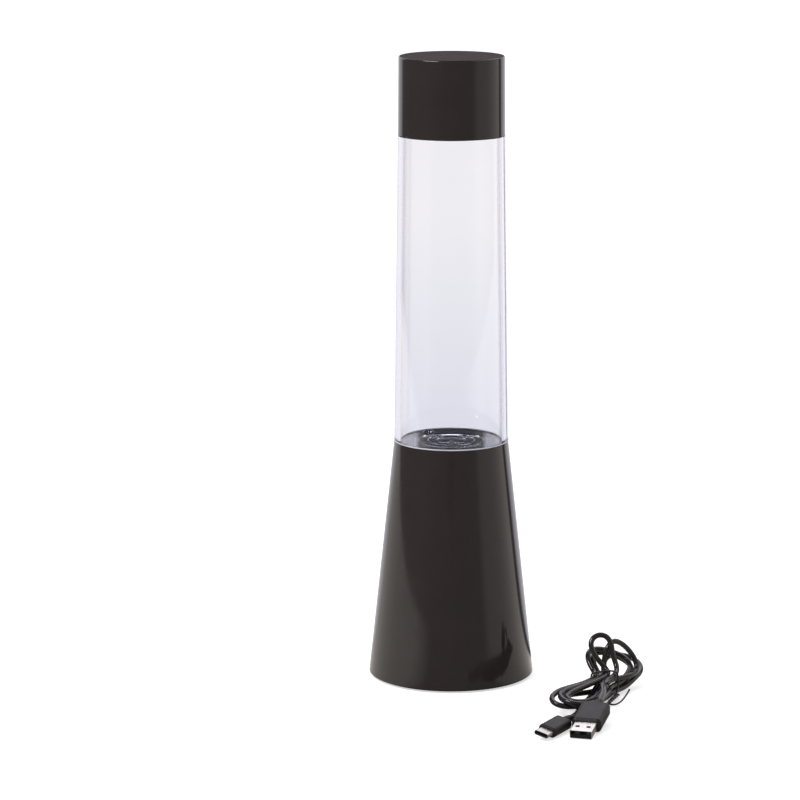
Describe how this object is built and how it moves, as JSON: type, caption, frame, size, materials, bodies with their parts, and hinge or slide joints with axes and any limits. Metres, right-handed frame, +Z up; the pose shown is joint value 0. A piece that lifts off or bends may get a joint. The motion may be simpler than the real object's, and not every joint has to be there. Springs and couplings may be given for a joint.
{
  "type": "liquid motion lamp",
  "caption": "Liquid motion lamp: a clear water tube on a tapered base with an air pump, a light under its floor, a lift-off cap, a rocker switch and a tied power lead.",
  "frame": {"origin": "centre of the lamp's footprint, on the surface it stands on", "axes": "+Z up along the tube, -Y towards the viewer of the picture, +Y towards the power inlet and the switch"},
  "size_m": [0.1544, 0.187, 0.35],
  "materials": {
    "black_gloss": "polished injection moulding",
    "clear_tube": "clear acrylic, polished",
    "clear_floor": "clear acrylic, polished",
    "black_matte": "fine satin",
    "black_rubber": "soft matte",
    "clear_silicone": "translucent silicone",
    "white_plastic": "satin",
    "led_lens": "clear epoxy",
    "steel": "bright zinc",
    "nickel": "bright nickel plate",
    "brass": "turned",
    "circuit_board": "solder mask over glass fibre",
    "chip": "moulded epoxy",
    "tinned": "tinned",
    "wire_red": "vinyl sleeve",
    "wire_black": "vinyl sleeve",
    "cord_black": "semi-gloss jacket"
  },
  "bodies": {
    "lamp": {"base_shell": "black_gloss", "base_plate": "black_matte", "rubber_feet": "black_rubber", "base_screws": "steel", "tube": "clear_tube", "tube_floor": "clear_floor", "light_deck": "black_matte", "tube_gasket": "black_rubber", "deck_screws": "steel", "led": "led_lens", "led_legs": "tinned", "led_board": "circuit_board", "led_board_screws": "steel", "air_nozzle": "clear_floor", "valve_body": "white_plastic", "valve_cap": "white_plastic", "valve_flap": "black_rubber", "hose_lower": "clear_silicone", "hose_upper": "clear_silicone", "pump_body": "white_plastic", "diaphragm": "black_rubber", "pump_head": "white_plastic", "pump_cover": "black_matte", "pump_flaps": "black_rubber", "pump_screws": "steel", "motor_can": "steel", "motor_end": "white_plastic", "pump_cradle": "black_rubber", "pump_strap": "steel", "strap_screws": "steel", "control_board": "circuit_board", "board_parts": "chip", "board_screws": "steel", "power_socket": "nickel", "socket_tongue": "black_matte", "switch_body": "black_matte", "switch_tabs": "brass", "led_wires": "wire_black", "motor_wires": "wire_red", "switch_wires": "wire_black", "lead_hank": "cord_black", "lead_tail_usb_a": "cord_black", "lead_tail_usb_c": "cord_black", "usb_a_overmould": "cord_black", "usb_a_shell": "nickel", "usb_a_tongue": "white_plastic", "usb_c_overmould": "cord_black", "usb_c_shell": "nickel", "usb_c_liner": "black_matte", "twist_tie": "cord_black"},
    "cap": {"cap_shell": "black_gloss", "cap_liner": "black_matte", "cap_seal": "black_rubber"},
    "rotor": {"motor_shaft": "steel", "crank": "white_plastic"},
    "rod": {"pump_rod": "white_plastic"},
    "rocker": {"switch_rocker": "black_gloss"}
  },
  "joints": [
    {"name": "cap_lift", "type": "slide", "parent": "lamp", "child": "cap", "axis": [0, 0, 1], "range_m": [0, 0.08]},
    {"name": "motor_spin", "type": "hinge", "parent": "lamp", "child": "rotor", "pos_m": [-0.0122, 0, 0.03], "axis": [1, 0, 0], "continuous": true},
    {"name": "rod_follow", "type": "hinge", "parent": "rotor", "child": "rod", "pos_m": [-0.015, 0, 0.0315], "axis": [1, 0, 0], "continuous": true, "deforming": ["diaphragm"]},
    {"name": "rocker_press", "type": "hinge", "parent": "lamp", "child": "rocker", "pos_m": [0, 0.04165, 0.03387], "axis": [1, 0, 0], "range_deg": [0, 18]}
  ],
  "couplings": [
    {"joint": "rod_follow", "follows": "motor_spin", "ratio": -1}
  ]
}
